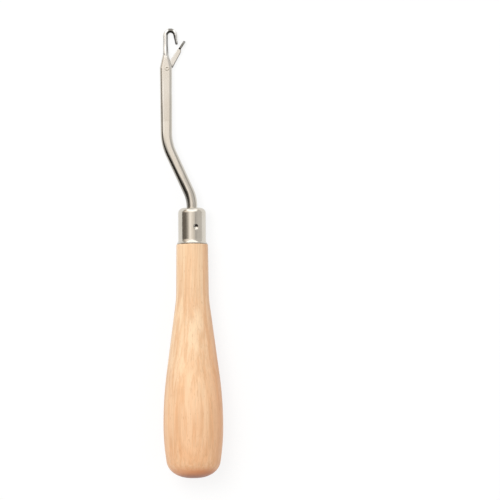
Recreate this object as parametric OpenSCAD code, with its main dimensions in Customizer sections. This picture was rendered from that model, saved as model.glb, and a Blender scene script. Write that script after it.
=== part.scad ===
// Latch hook for rug yarn: a turned wooden handle, a metal ferrule, a cranked steel
// shank whose end is a slotted hook, and a small latch that swings on a rivet.
// Each piece is drawn on the tool's own axes: Y runs from the butt to the hook, X points
// to the side on which the hook opens, and Z is square to the hook. The whole tool is
// then tilted once, so that it lies on a table on its belly and its hook.

/* [Handle] */
// Length of bare wood, from the butt to the ferrule
handle_l = 85.7; // [80:0.1:110]
// Diameter of the belly, which fills the palm
belly_d = 21.9; // [18:0.1:24]
// Distance of the belly from the butt
belly_y = 19.3; // [14:0.1:22]
// Length of the rounded butt end
dome_l = 6.2; // [5:0.1:9]
// How blunt the butt end is: 2 is an ellipse, and more is squarer
dome_blunt = 2.4; // [2:0.1:3]
// Diameter of the small flat left where the butt was parted off
butt_flat_d = 4; // [3:0.1:6]
// Radius of the long curve from the butt end to the belly
barrel_r = 85; // [60:1:140]
// Radius of the long curve from the belly into the taper
belly_curve_r = 144; // [100:1:170]
// Angle of the taper towards the neck
taper_angle = 7.6; // [7:0.1:9]
// Radius of the hollow where the taper runs into the neck
waist_r = 40; // [20:1:60]
// Diameter of the neck at the ferrule
neck_d = 11.6; // [11.4:0.1:13]
// Angle at which the neck still narrows towards the ferrule
neck_angle = 0.6; // [0.2:0.1:1]
// Softened edge of the wood at the ferrule
edge_break = 0.25; // [0.1:0.05:0.4]

/* [Ferrule] */
// Outside diameter of the ferrule
ferrule_d = 10.2; // [9:0.1:10.6]
// Length of the ferrule
ferrule_l = 13.4; // [11:0.1:18]
// Thickness of its metal
ferrule_wall = 0.5; // [0.4:0.05:0.8]
// Radius of the rounded shoulder at its closed end
shoulder_r = 1.9; // [1:0.1:2]
// Length of the flared mouth that seats on the wood
flare_l = 1.6; // [0.8:0.1:2]
// How far the mouth flares out all round
flare = 0.45; // [0.3:0.05:0.75]
// Distance from the mouth to the punch mark that locks the ferrule
punch_y = 6.1; // [4:0.1:8]
// Angle of the punch mark round the ferrule from its top line
punch_turn = 16; // [0:1:40]
// Radius of the punch's round nose
punch_r = 1.25; // [0.8:0.05:1.4]
// Depth of the punch mark
punch_depth = 0.5; // [0.2:0.05:0.6]

/* [Shank] */
// Diameter of the steel rod
rod_d = 3.9; // [3:0.05:4]
// Depth of the tang inside the wood, from the ferrule's mouth
tang_l = 35; // [25:1:50]
// Length of the point at the tang's end
tang_point_l = 3; // [2:0.5:6]
// Straight rod between the ferrule and the first bend
rod_stub_l = 0.6; // [0.3:0.1:4]
// Angle of the crank
crank_angle = 24.4; // [20:0.1:32]
// Sideways offset from the handle's axis to the blade
crank_offset = 9.2; // [7:0.1:12]
// Radius of the lower bend, on the rod's centre line
lower_bend_r = 13.5; // [8:0.5:18]
// Radius of the upper bend, on the rod's centre line
upper_bend_r = 20; // [12:0.5:24]

/* [Blade] */
// Length of the flattened blade, from the upper bend to the rivet
blade_l = 23.3; // [18:0.1:32]
// Width of the blade where it leaves the upper bend
blade_root_w = 4; // [3.6:0.05:4.2]
// Width of the blade at the rivet
blade_w = 4.5; // [4.1:0.05:4.8]
// Thickness of the blade
blade_t = 2.2; // [2:0.05:2.6]
// Distance before the blade at which the round rod starts to be pressed flat
press_from_l = 17; // [14:0.5:20]
// Distance before the blade at which the flats have their full depth
press_full_l = 4.5; // [2:0.5:8]
// Length over which the round rod runs out into the blade
flat_run_l = 12; // [8:0.5:16]
// Length over which the blade spreads to its root's width
spread_l = 3; // [2:0.5:6]
// Straight stretch of full width beyond the rivet
cheek_l = 0.1; // [0.1:0.1:1]
// Length over which the two edges draw together beyond the cheeks
nose_l = 5; // [3.5:0.1:6]
// Length over which the nose thins to the hook's wire
neck_taper_l = 4; // [3:0.1:6]
// Distance of the rivet from the middle of the blade, towards the hook's opening
rivet_off = 0.41; // [0.2:0.01:0.5]
// Width of the slot that holds the latch
slot_w = 0.75; // [0.65:0.05:0.9]
// Radius of the cutter that mills the slot
cutter_r = 10; // [9:0.5:13]
// Distance of the cutter's centre below the rivet
cutter_back = 1.8; // [1:0.1:2.5]
// Clearance between the latch's eye and the bottom of the slot
slot_gap = 0.14; // [0.1:0.01:0.25]

/* [Hook] */
// Diameter of the hook's wire
wire_d = 1.7; // [1.4:0.05:1.8]
// Length of straight wire below the bow
stem_l = 2.8; // [1.5:0.1:6]
// Radius of the bow, on the wire's centre line
bow_r = 1.79; // [1.5:0.01:2.4]
// Angle at which the beard leans outwards
beard_angle = 6.7; // [0:0.1:12]
// Length of the beard, from the bow to its tip
beard_l = 3.6; // [2.5:0.1:4.5]
// Diameter of the beard at its rounded tip
tip_d = 0.9; // [0.7:0.05:1.2]

/* [Latch] */
// Thickness of the latch
latch_t = 0.6; // [0.5:0.02:0.64]
// Radius of the latch's round eye
eye_r = 1.45; // [1.3:0.05:1.6]
// Distance of the latch's inner edge from the spoon's middle line, next to the eye
inner_w = 0.7; // [0.5:0.05:0.9]
// Distance of its outer edge from the spoon's middle line, next to the eye
heel_w = 1.5; // [1.2:0.05:1.6]
// Distance of its outer edge from the spoon's middle line, where the spoon begins
throat_w = 0.95; // [0.6:0.01:1.1]
// Length of the spoon
spoon_l = 3.5; // [2.6:0.1:4]
// Width of the spoon across the hook
spoon_w = 2.2; // [2:0.05:2.4]
// Thickness of the spoon
spoon_t = 0.8; // [0.7:0.05:1]
// Radius of the spoon's hollow
hollow_r = 1; // [0.85:0.05:1.2]
// Depth of the spoon's hollow
hollow_depth = 0.3; // [0.15:0.05:0.4]
// Solid root of the spoon before the hollow begins
spoon_root_l = 0.5; // [0.3:0.05:0.6]
// How far the spoon reaches back past the beard's tip
spoon_lap = 0.8; // [0.5:0.05:1]
// Opening of the latch from its closed stop, as it rests
rest_open = 8; // [0:1:120]

/* [Rivet] */
// Diameter of the rivet
rivet_d = 1.1; // [0.9:0.05:1.2]
// Diameter of the rivet's countersunk heads
head_d = 1.9; // [1.7:0.05:2.1]
// Depth of the countersinks
head_l = 0.3; // [0.2:0.05:0.35]
// Diameter of the punch dent in each head
dent_d = 0.9; // [0.6:0.05:1.1]
// Depth of that dent
dent_depth = 0.18; // [0.1:0.02:0.25]

/* [Fits] */
// Clearance round the tang in the wood, filled by glue
tang_gap = 0.04; // [0.02:0.01:0.08]
// Clearance between the ferrule and the wood inside it
ferrule_gap = 0.03; // [0.02:0.01:0.06]
// Clearance round the rod where it leaves the ferrule
rod_gap = 0.03; // [0.02:0.01:0.08]
// Clearance round the rivet in the latch, which swings on it
swing_gap = 0.05; // [0.02:0.01:0.09]
// Clearance round the rivet in the blade, closed by riveting
rivet_gap = 0.01; // [0.01:0.01:0.03]
// Clearance between the latch and the beard at the closed stop
stop_gap = 0.1; // [0.05:0.01:0.2]

/* [Hidden] */
round_fn = 96;
fine_fn = 48;
curve_steps = 10;
eps = 0.01;
// Where runs of the shank join, the outer one is this much thicker and the inner one
// reaches into it, so that no two of their surfaces coincide.
join = 0.015;
join_reach = 0.1;
cut_past = 1;
heel_turn = 20;
dent_floor_r = 0.1;

belly_r = belly_d / 2;
neck_r = neck_d / 2;
butt_flat_r = butt_flat_d / 2;
ferrule_r = ferrule_d / 2;
rod_r = rod_d / 2;
wire_r = wire_d / 2;
tip_r = tip_d / 2;
rivet_r = rivet_d / 2;
edge_r = blade_t / 2;
tang_point_r = rod_r / 3;
lip_l = flare_l / 4;

// The handle's outline, as [radius, distance from the butt].
// The butt end is a blunt dome, a superellipse on the long barrel curve, cut off at the
// parting flat.
function barrel_at(y) = belly_r - barrel_r + sqrt(barrel_r * barrel_r - (belly_y - y) * (belly_y - y));
dome_power = 2 / dome_blunt;
flat_turn = asin(pow(butt_flat_r / barrel_at(0), 1 / dome_power));
parted = dome_l * (1 - pow(cos(flat_turn), dome_power));
dome = [
    for (i = [0 : curve_steps])
    let (a = flat_turn + (90 - flat_turn) * i / curve_steps)
    let (y = dome_l * (1 - pow(cos(a), dome_power)) - parted)
    [barrel_at(y) * pow(sin(a), dome_power), y]
];
dome_end = dome_l - parted;
barrel = [
    for (i = [1 : curve_steps])
    let (y = dome_end + (belly_y - dome_end) * i / curve_steps)
    [barrel_at(y), y]
];
shoulder_curve = [
    for (i = [1 : curve_steps])
    let (a = taper_angle * i / curve_steps)
    [belly_r - belly_curve_r * (1 - cos(a)), belly_y + belly_curve_r * sin(a)]
];
// The taper and the neck are two straight lines, joined by the waist's hollow curve.
taper_from = shoulder_curve[curve_steps - 1];
waist_y = (taper_from[0] + taper_from[1] * tan(taper_angle) - neck_r - handle_l * tan(neck_angle))
    / (tan(taper_angle) - tan(neck_angle));
waist_x = neck_r + (handle_l - waist_y) * tan(neck_angle);
waist_tangent = waist_r * tan((taper_angle - neck_angle) / 2);
waist_centre = [
    waist_x + waist_tangent * sin(taper_angle) + waist_r * cos(taper_angle),
    waist_y - waist_tangent * cos(taper_angle) + waist_r * sin(taper_angle)
];
waist = [
    for (i = [0 : curve_steps])
    let (a = taper_angle + (neck_angle - taper_angle) * i / curve_steps)
    [waist_centre[0] - waist_r * cos(a), waist_centre[1] - waist_r * sin(a)]
];
tenon_r = ferrule_r - ferrule_wall - ferrule_gap;
tenon_end = handle_l + ferrule_l - ferrule_wall - ferrule_gap;
tenon_corner = max(shoulder_r - ferrule_wall, edge_break);

// Where the shank's centre line turns, worked out from the crank's angle and offset.
ferrule_top = handle_l + ferrule_l;
bend_y = ferrule_top + rod_stub_l;
slant_l = (crank_offset - (lower_bend_r + upper_bend_r) * (1 - cos(crank_angle))) / sin(crank_angle);
slant_from = [-lower_bend_r * (1 - cos(crank_angle)), bend_y + lower_bend_r * sin(crank_angle)];
blade_y = slant_from[1] + slant_l * cos(crank_angle) + upper_bend_r * sin(crank_angle);
rivet_y = blade_y + blade_l;
rivet_x = -crank_offset + rivet_off;
cheek_y = rivet_y + cheek_l;
nose_y = cheek_y + nose_l;
stem_y = nose_y + neck_taper_l;
bow_y = stem_y + stem_l;
bow_x = -crank_offset + bow_r;
plate_t = blade_t - 2 * join;
half_start = rod_r - edge_r - 4 * join;
half_root = blade_root_w / 2 - edge_r;
half_blade = blade_w / 2 - edge_r;
slot_reach = cutter_r - eye_r - slot_gap;
slot_x = rivet_x + sqrt(slot_reach * slot_reach - cutter_back * cutter_back);

// The beard starts where the bow ends and leans outwards to a round tip.
beard_x = bow_x + bow_r * cos(beard_angle);
beard_y = bow_y + bow_r * sin(beard_angle);
tip_x = beard_x + (beard_l - tip_r) * sin(beard_angle);
tip_y = beard_y - (beard_l - tip_r) * cos(beard_angle);

// The latch's length and closed stop follow from the beard's tip, which it covers.
tip_reach = norm([tip_x - rivet_x, tip_y - rivet_y]);
spoon_y = tip_reach - tip_r - spoon_lap;
hollow_x = -spoon_t / 2 + hollow_depth - hollow_r;
tip_side = spoon_t / 2 - hollow_depth + tip_r + stop_gap;
closed_angle = atan2(tip_x - rivet_x, tip_y - rivet_y) + asin(tip_side / tip_reach);
rest_angle = closed_angle + rest_open;

// The tilt at which the belly's curve and the hook's bow both touch the table.
bow_end = bow_y + bow_r - belly_y;
belly_drop = belly_curve_r - belly_r;
tilt = asin((belly_curve_r - wire_r) / norm([bow_end, belly_drop])) - atan2(belly_drop, bow_end);
left_edge = crank_offset + blade_w / 2;
centre_x = (belly_r - max(left_edge, belly_r)) / 2;
low_y = -butt_flat_r * sin(tilt);
high_y = (bow_y + bow_r) * cos(tilt) + wire_r;

module lie_down() {
    translate([-centre_x, -(low_y + high_y) / 2, (bow_y + bow_r) * sin(tilt) + wire_r])
        rotate([-tilt, 0, 0])
            children();
}

// Turns a shape drawn along Z so that it runs along the tool.
module along_tool() {
    rotate([-90, 0, 0]) children();
}

// A round bar between two points of the hook's plane, tapered if the radii differ.
module bar(from, to, r1, r2) {
    run = to - from;
    translate([from[0], from[1], 0])
        rotate([0, 0, -atan2(run[0], run[1])])
            along_tool()
                cylinder(h = norm(run), r1 = r1, r2 = r2, $fn = fine_fn);
}

// A bend of round bar in the hook's plane, from angle a1 to a2 about its centre.
module bend(centre, r, bar_r, a1, a2, fn) {
    translate([centre[0], centre[1], 0])
        rotate([0, 0, a1])
            rotate_extrude(angle = a2 - a1, $fn = round_fn)
                translate([r, 0])
                    circle(r = bar_r, $fn = fn);
}

module punch_at(r) {
    translate([0, handle_l + punch_y, 0])
        rotate([0, punch_turn, 0])
            translate([0, 0, ferrule_r - punch_depth + punch_r])
                sphere(r = r, $fn = fine_fn);
}

module handle_outline() {
    polygon(concat(
        [[0, 0]],
        dome, barrel, shoulder_curve, waist,
        [
            [neck_r + edge_break * tan(neck_angle), handle_l - edge_break],
            [neck_r - edge_break, handle_l],
            [tenon_r, handle_l],
            [tenon_r, tenon_end - tenon_corner],
            [tenon_r - tenon_corner, tenon_end],
            [0, tenon_end]
        ]
    ));
}

module tang_bore() {
    bore_r = rod_r + tang_gap;
    translate([0, handle_l - tang_l - tang_gap, 0]) {
        along_tool()
            cylinder(h = tang_point_l, r1 = tang_point_r + tang_gap, r2 = bore_r, $fn = fine_fn);
        translate([0, tang_point_l - eps, 0])
            along_tool()
                cylinder(h = tang_l + ferrule_l, r = bore_r, $fn = fine_fn);
    }
}

module handle() {
    color("burlywood")
        difference() {
            along_tool()
                rotate_extrude($fn = round_fn)
                    handle_outline();
            tang_bore();
            punch_at(punch_r + ferrule_wall + ferrule_gap);
        }
}

// The ferrule's wall, as [radius, distance from the mouth], with a true round shoulder.
module ferrule_outline() {
    inner_r = ferrule_r - ferrule_wall;
    difference() {
        union() {
            square([ferrule_r, ferrule_l - shoulder_r]);
            square([ferrule_r - shoulder_r, ferrule_l]);
            translate([ferrule_r - shoulder_r, ferrule_l - shoulder_r])
                circle(r = shoulder_r, $fn = fine_fn);
            polygon([
                [0, 0],
                [ferrule_r + flare, 0],
                [ferrule_r + flare, lip_l],
                [ferrule_r, flare_l],
                [0, flare_l]
            ]);
        }
        translate([-eps, -eps])
            square([inner_r + eps, ferrule_l - shoulder_r + eps]);
        translate([-eps, 0])
            square([ferrule_r - shoulder_r + eps, ferrule_l - ferrule_wall]);
        translate([ferrule_r - shoulder_r, ferrule_l - shoulder_r])
            circle(r = shoulder_r - ferrule_wall, $fn = fine_fn);
        translate([-eps, -eps])
            square([rod_r + rod_gap + eps, ferrule_l + 2 * eps]);
    }
}

module ferrule() {
    straight_l = ferrule_l - flare_l - shoulder_r;
    color("silver")
        difference() {
            union() {
                translate([0, handle_l, 0])
                    along_tool()
                        rotate_extrude($fn = round_fn)
                            ferrule_outline();
                intersection() {
                    punch_at(punch_r + ferrule_wall);
                    translate([0, handle_l + flare_l, 0])
                        along_tool()
                            cylinder(h = straight_l, r = ferrule_r - ferrule_wall / 2, $fn = round_fn);
                }
            }
            punch_at(punch_r);
        }
}

module tang() {
    tang_y = handle_l - tang_l;
    along_tool()
        rotate_extrude($fn = fine_fn)
            polygon([
                [0, tang_y],
                [tang_point_r, tang_y],
                [rod_r, tang_y + tang_point_l],
                [rod_r, bend_y + join_reach],
                [0, bend_y + join_reach]
            ]);
}

// Half of the rod's depth that is left along it: it is pressed down to the blade's flats
// within the upper bend, and runs out below them inside the blade.
module press_gap() {
    from_y = blade_y - press_from_l;
    full_y = blade_y - press_full_l;
    slope = (rod_r - edge_r - join) / (full_y - from_y);
    open_y = from_y - cut_past / slope;
    half = [
        [open_y, rod_r + cut_past],
        [full_y, edge_r + join],
        [blade_y + join_reach, edge_r + join],
        [blade_y + flat_run_l, 0]
    ];
    translate([-crank_offset - rod_d, 0, 0])
        rotate([90, 0, 90])
            linear_extrude(crank_offset + 2 * rod_d)
                polygon(concat(half, [for (i = [2 : -1 : 0]) [half[i][0], -half[i][1]]]));
}

module cranked_rod() {
    slant = [-sin(crank_angle), cos(crank_angle)];
    upper_centre = [upper_bend_r - crank_offset, blade_y];
    tang();
    bend([-lower_bend_r, bend_y], lower_bend_r, rod_r + join, 0, crank_angle, fine_fn);
    intersection() {
        union() {
            bar(slant_from - join_reach * slant, slant_from + (slant_l + join_reach) * slant, rod_r, rod_r);
            bend(upper_centre, upper_bend_r, rod_r + join, 180, 180 + crank_angle, fine_fn);
            bar([-crank_offset, blade_y - join_reach], [-crank_offset, blade_y + flat_run_l], rod_r, rod_r);
        }
        press_gap();
    }
}

// One stretch of blade: a flat plate between two round edges.
module blade_stretch(y1, y2, half1, half2) {
    translate([-crank_offset, 0, -plate_t / 2])
        linear_extrude(plate_t)
            polygon([[-half1, y1], [half1, y1], [half2, y2], [-half2, y2]]);
    for (side = [-1, 1]) {
        from = [-crank_offset + side * half1, y1];
        to = [-crank_offset + side * half2, y2];
        bar(from, to, edge_r, edge_r);
    }
}

// The balls at the blade's corners are turned so that their poles lie inside the steel.
module blade_corner(y, half) {
    for (side = half > 0 ? [-1, 1] : [1])
        translate([-crank_offset + side * half, y, 0])
            rotate([0, 0, 90 + 90 * side])
                along_tool()
                    sphere(r = edge_r + join, $fn = fine_fn);
}

module blade() {
    spread_y = blade_y + spread_l;
    blade_stretch(blade_y, spread_y, half_start, half_root);
    blade_corner(spread_y, half_root);
    blade_stretch(spread_y, cheek_y, half_root, half_blade);
    blade_corner(cheek_y, half_blade);
    blade_stretch(cheek_y, nose_y, half_blade, 0);
    blade_corner(nose_y, 0);
}

module slot() {
    translate([slot_x, rivet_y - cutter_back, -slot_w / 2])
        cylinder(h = slot_w, r = cutter_r, $fn = round_fn);
}

// The rivet's body, or with a gap the hole and countersinks that it fills, cut past the
// blade's faces by some overrun.
module rivet_body(gap, overrun) {
    head_r = head_d / 2 + gap;
    translate([rivet_x, rivet_y, 0]) {
        cylinder(h = blade_t + 2 * overrun, r = rivet_r + gap, center = true, $fn = fine_fn);
        for (side = [0, 180])
            rotate([side, 0, 0])
                translate([0, 0, edge_r - head_l]) {
                    cylinder(h = head_l, r1 = rivet_r + gap, r2 = head_r, $fn = fine_fn);
                    if (overrun > 0)
                        translate([0, 0, head_l])
                            cylinder(h = overrun, r = head_r, $fn = fine_fn);
                }
    }
}

// The nose thins to the wire, which runs straight to the bow.
module stem() {
    translate([-crank_offset, 0, 0])
        along_tool()
            rotate_extrude($fn = fine_fn)
                polygon([
                    [0, nose_y],
                    [edge_r, nose_y],
                    [wire_r, stem_y],
                    [wire_r, bow_y + join_reach],
                    [0, bow_y + join_reach]
                ]);
}

module hook_wire() {
    beard_run = [sin(beard_angle), -cos(beard_angle)];
    stem();
    bend([bow_x, bow_y], bow_r, wire_r + join, beard_angle, 180, fine_fn);
    bar([beard_x, beard_y] - join_reach * beard_run, [tip_x, tip_y], wire_r, tip_r);
    translate([tip_x, tip_y, 0])
        rotate([0, 0, beard_angle])
            along_tool()
                sphere(r = tip_r + join, $fn = fine_fn);
}

module shank() {
    color("lightgray") {
        cranked_rod();
        difference() {
            blade();
            slot();
            rivet_body(rivet_gap, cut_past);
        }
        hook_wire();
    }
}

// The latch is drawn on its own axes, with the spoon's middle line on Y.
module latch_plate() {
    linear_extrude(latch_t, center = true)
        union() {
            circle(r = eye_r, $fn = fine_fn);
            polygon([
                [-inner_w, 0],
                [-inner_w, eye_r],
                [eps - spoon_t / 2, spoon_y],
                [eps - spoon_t / 2, spoon_y + spoon_root_l],
                [spoon_t / 2 - eps, spoon_y + spoon_root_l],
                [throat_w, spoon_y - spoon_lap],
                [heel_w, eye_r],
                [eye_r * cos(heel_turn), -eye_r * sin(heel_turn)]
            ]);
        }
}

module spoon() {
    round_r = spoon_w / 2;
    hollow_half = sqrt(hollow_r * hollow_r - (hollow_r - hollow_depth) * (hollow_r - hollow_depth));
    hollow_from = spoon_y + spoon_root_l + hollow_half;
    hollow_to = spoon_y + spoon_l - round_r;
    difference() {
        translate([-spoon_t / 2, spoon_y + round_r, 0])
            rotate([0, 90, 0]) {
                cylinder(h = spoon_t, r = round_r, $fn = fine_fn);
                translate([-round_r, 0, 0])
                    cube([spoon_w, spoon_l - spoon_w, spoon_t]);
                translate([0, spoon_l - spoon_w, 0])
                    cylinder(h = spoon_t, r = round_r, $fn = fine_fn);
            }
        translate([hollow_x, 0, 0]) {
            bar([0, hollow_from], [0, hollow_to], hollow_r, hollow_r);
            for (y = [hollow_from, hollow_to])
                translate([0, y, 0])
                    sphere(r = hollow_r, $fn = fine_fn);
        }
    }
}

module latch() {
    color("gainsboro")
        translate([rivet_x, rivet_y, 0])
            rotate([0, 0, -rest_angle])
                difference() {
                    union() {
                        latch_plate();
                        spoon();
                    }
                    cylinder(h = 2 * latch_t, r = rivet_r + swing_gap, center = true, $fn = fine_fn);
                }
}

module latch_rivet() {
    color("darkgray")
        difference() {
            rivet_body(0, 0);
            for (side = [-1, 1])
                translate([rivet_x, rivet_y, side * (edge_r - dent_depth)])
                    rotate([90 - 90 * side, 0, 0])
                        cylinder(h = dent_depth + eps, r1 = dent_floor_r, r2 = dent_d / 2, $fn = fine_fn);
        }
}

lie_down() handle();
lie_down() ferrule();
lie_down() shank();
lie_down() latch();
lie_down() latch_rivet();
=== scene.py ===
# A latch hook for rug yarn, lying on a white table: a turned beech handle, a nickel plated
# ferrule and shank, and a small latch on its rivet. Every piece is a surface worked out with
# numpy in the tool's own millimetres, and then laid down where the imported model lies.
import math

import bpy
import numpy as np
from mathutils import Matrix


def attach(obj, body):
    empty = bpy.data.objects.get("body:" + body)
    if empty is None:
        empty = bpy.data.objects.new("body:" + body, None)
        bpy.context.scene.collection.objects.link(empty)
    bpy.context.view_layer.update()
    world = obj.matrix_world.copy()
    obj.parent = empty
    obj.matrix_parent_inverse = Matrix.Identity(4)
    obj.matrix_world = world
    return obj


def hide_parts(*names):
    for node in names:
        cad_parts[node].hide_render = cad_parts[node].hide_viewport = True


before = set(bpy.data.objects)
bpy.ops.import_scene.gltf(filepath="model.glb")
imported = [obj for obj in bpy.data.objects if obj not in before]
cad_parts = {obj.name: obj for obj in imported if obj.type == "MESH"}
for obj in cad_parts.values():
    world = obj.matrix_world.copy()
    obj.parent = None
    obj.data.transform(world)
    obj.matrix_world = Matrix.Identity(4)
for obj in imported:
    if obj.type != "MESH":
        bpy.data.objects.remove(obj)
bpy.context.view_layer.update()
print("frame loaded:", ", ".join(sorted(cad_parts)))

# The tool's own axes: Y runs from the butt to the hook, X points to the side on which the
# hook opens, and Z is square to both. It lies tilted about X, on its belly and its bow.
lying = {
    "tilt": math.radians(4.133746),
    "shift": (0.25, -82.2464, 12.6874),
}


def layDown(points):
    # Tool millimetres to metres of the frame: a turn about X by the tilt, then the shift.
    x, y, z = np.moveaxis(np.asarray(points, dtype=float), -1, 0)
    c, s = math.cos(lying["tilt"]), math.sin(lying["tilt"])
    turned = np.stack([x, y * c + z * s, z * c - y * s], axis=-1)
    return (turned + np.array(lying["shift"])) * 0.001


def linear(red, green, blue):
    # A colour given as 0 to 255 on a screen, as the linear colour that shaders take.
    c = np.array([red, green, blue]) / 255
    straight = np.where(c <= 0.04045, c / 12.92, ((c + 0.055) / 1.055) ** 2.4)
    return (*straight.tolist(), 1.0)


def smoothStep(edge0, edge1, value):
    # 0 below edge0, 1 above edge1, and 3t^2 - 2t^3 between them.
    t = np.clip((value - edge0) / (edge1 - edge0), 0, 1)
    return t * t * (3 - 2 * t)


def arc(centre, radius, fromDegrees, toDegrees, count):
    # Points (centre + radius * (cos a, sin a)) for count angles between the two given.
    a = np.radians(np.linspace(fromDegrees, toDegrees, count))
    return np.stack([centre[0] + radius * np.cos(a), centre[1] + radius * np.sin(a)], axis=-1)


def line(start, end, count):
    # Points evenly spaced from start up to, and without, end.
    t = np.linspace(0, 1, count, endpoint=False)[:, None]
    return np.array(start) * (1 - t) + np.array(end) * t


# Meshes from grids of points

def makePiece(name, grid, startPole=None, endPole=None, loop=False, sharpAngle=38, lie=True):
    # grid[i, j] is a point: j goes round the section, which is closed, and i goes along the
    # piece. A pole closes an end as a fan, and loop joins the last section to the first.
    rows, cols = grid.shape[:2]
    points = grid.reshape(-1, 3)
    index = np.arange(rows * cols).reshape(rows, cols)
    if loop:
        index = np.vstack([index, index[:1]])
    after = np.roll(index, -1, axis=1)
    quads = np.stack([index[:-1], after[:-1], after[1:], index[1:]], axis=-1).reshape(-1, 4)
    fans = []
    for pole, ring, nextRing in ((startPole, after[0], index[0]), (endPole, index[-1], after[-1])):
        if pole is not None:
            fans.append(np.stack([ring, nextRing, np.full(cols, len(points))], axis=-1))
            points = np.vstack([points, pole])
    triangles = np.vstack([quads[:, [0, 1, 2]], quads[:, [0, 2, 3]]] + fans)
    a, b, c = (points[triangles[:, k]] for k in range(3))
    if np.einsum("ij,ij->", a, np.cross(b, c)) < 0:
        quads = quads[:, ::-1]
        fans = [fan[:, ::-1] for fan in fans]
    faces = quads.tolist()
    for fan in fans:
        faces += fan.tolist()
    mesh = bpy.data.meshes.new(name)
    mesh.from_pydata((layDown(points) if lie else points).tolist(), [], faces)
    mesh.shade_smooth()
    mesh.set_sharp_from_angle(angle=math.radians(sharpAngle))
    piece = bpy.data.objects.new(name, mesh)
    bpy.context.scene.collection.objects.link(piece)
    return piece


def lathe(outline, turns):
    # A surface of revolution about the tool's Y axis: the outline's (radius, height) pairs
    # are turned to every angle of turns, measured from Z towards X.
    radius, height = outline[:, 0, None], outline[:, 1, None]
    across = radius * np.sin(turns)
    up = radius * np.cos(turns)
    return np.stack([across, np.broadcast_to(height, across.shape), up], axis=-1)


def cutAway(piece, cutter):
    # Cuts one closed mesh out of another, and keeps the result as the piece's own mesh.
    modifier = piece.modifiers.new("cut", "BOOLEAN")
    modifier.operation = "DIFFERENCE"
    modifier.solver = "EXACT"
    modifier.object = cutter
    graph = bpy.context.evaluated_depsgraph_get()
    mesh = bpy.data.meshes.new_from_object(piece.evaluated_get(graph))
    piece.modifiers.clear()
    piece.data = mesh
    bpy.data.objects.remove(cutter)
    mesh.shade_smooth()
    mesh.set_sharp_from_angle(angle=math.radians(38))


def setAttribute(piece, name, values):
    # One number per vertex, which a material reads by its name.
    attribute = piece.data.attributes.new(name, "FLOAT", "POINT")
    attribute.data.foreach_set("value", np.asarray(values, dtype=np.float32).ravel())


# Materials

class Wire:
    # A node's output. Sums, differences, products and powers of it add Math nodes.
    def __init__(self, paint, socket):
        self.paint = paint
        self.socket = socket

    def __add__(self, other):
        return self.paint.maths("ADD", self, other)

    def __sub__(self, other):
        return self.paint.maths("SUBTRACT", self, other)

    def __rsub__(self, other):
        return self.paint.maths("SUBTRACT", other, self)

    def __mul__(self, other):
        return self.paint.maths("MULTIPLY", self, other)

    def __truediv__(self, other):
        return self.paint.maths("DIVIDE", self, other)

    def __pow__(self, other):
        return self.paint.maths("POWER", self, other)

    __radd__ = __add__
    __rmul__ = __mul__


class Paint:
    # The node tree of a material or of the world, written from Python.
    def __init__(self, owner):
        owner.use_nodes = True
        self.owner = owner
        self.tree = owner.node_tree
        self.tree.nodes.clear()

    def node(self, kind, settings=None, inputs=None, output=0):
        # Adds a node, sets its own settings first, and then gives or links its inputs.
        made = self.tree.nodes.new("ShaderNode" + kind)
        for key, value in (settings or {}).items():
            if key == "stops":
                self.fillRamp(made.color_ramp, value)
            else:
                setattr(made, key, value)
        for key, value in (inputs or {}).items():
            if isinstance(value, Wire):
                self.tree.links.new(value.socket, made.inputs[key])
            else:
                made.inputs[key].default_value = value
        return Wire(self, made.outputs[output]) if len(made.outputs) else made

    def fillRamp(self, ramp, stops):
        while len(ramp.elements) < len(stops):
            ramp.elements.new(0.5)
        for element, (position, colour) in zip(ramp.elements, stops):
            element.position = position
            element.color = colour

    def maths(self, operation, first, second=0.0, third=0.0, clamp=False):
        settings = {"operation": operation, "use_clamp": clamp}
        return self.node("Math", settings, {0: first, 1: second, 2: third})

    def mix(self, amount, first, second, blend="MIX"):
        # Mixes two colours.
        settings = {"data_type": "RGBA", "blend_type": blend}
        return self.node("Mix", settings, {0: amount, 6: first, 7: second}, output=2)

    def band(self, value, low, high):
        # 0 below low and 1 above high, with a smooth rise between.
        settings = {"interpolation_type": "SMOOTHSTEP"}
        return self.node("MapRange", settings, {"Value": value, "From Min": low, "From Max": high})

    def toolSpace(self, stretch=(1, 1, 1)):
        # Object coordinates turned back to the tool's own axes, in millimetres, and then
        # divided by the stretch, so that a pattern grows along an axis with its number.
        place = self.node("TexCoord", output="Object")
        c, s = math.cos(lying["tilt"]), math.sin(lying["tilt"])
        x, y, z = lying["shift"]
        back = {
            "Vector": place,
            "Location": (-x, -(y * c - z * s), -(y * s + z * c)),
            "Rotation": (lying["tilt"], 0, 0),
            "Scale": (1000, 1000, 1000),
        }
        tool = self.node("Mapping", None, back)
        if stretch == (1, 1, 1):
            return tool
        return self.node("Mapping", None, {"Vector": tool, "Scale": tuple(1 / k for k in stretch)})

    def noise(self, stretch, detail=2.0, roughness=0.5):
        settings = {"noise_dimensions": "3D"}
        inputs = {"Vector": self.toolSpace(stretch), "Scale": 1.0, "Detail": detail, "Roughness": roughness}
        return self.node("TexNoise", settings, inputs)

    def bump(self, height, strength, distance):
        return self.node("Bump", None, {"Height": height, "Strength": strength, "Distance": distance})

    def finish(self, shader, output="OutputMaterial"):
        self.node(output, None, {"Surface": shader})
        return self.owner


woodLook = {
    "pale": linear(247, 213, 174),
    "lateWood": linear(237, 192, 148),
    "streak": linear(230, 182, 138),
    "fleck": linear(206, 152, 108),
    "shadedSide": linear(234, 158, 100),
    "buttWarmAndShade": linear(214, 132, 78),
    "buttEndGrainAndShade": linear(146, 78, 40),
    "buttRightShade": linear(120, 58, 28),
    "pith": (-1.5, -26.0),
    "ringStep": 2.6,
    "ringWobble": 1.1,
    "roughness": 0.42,
}


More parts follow.
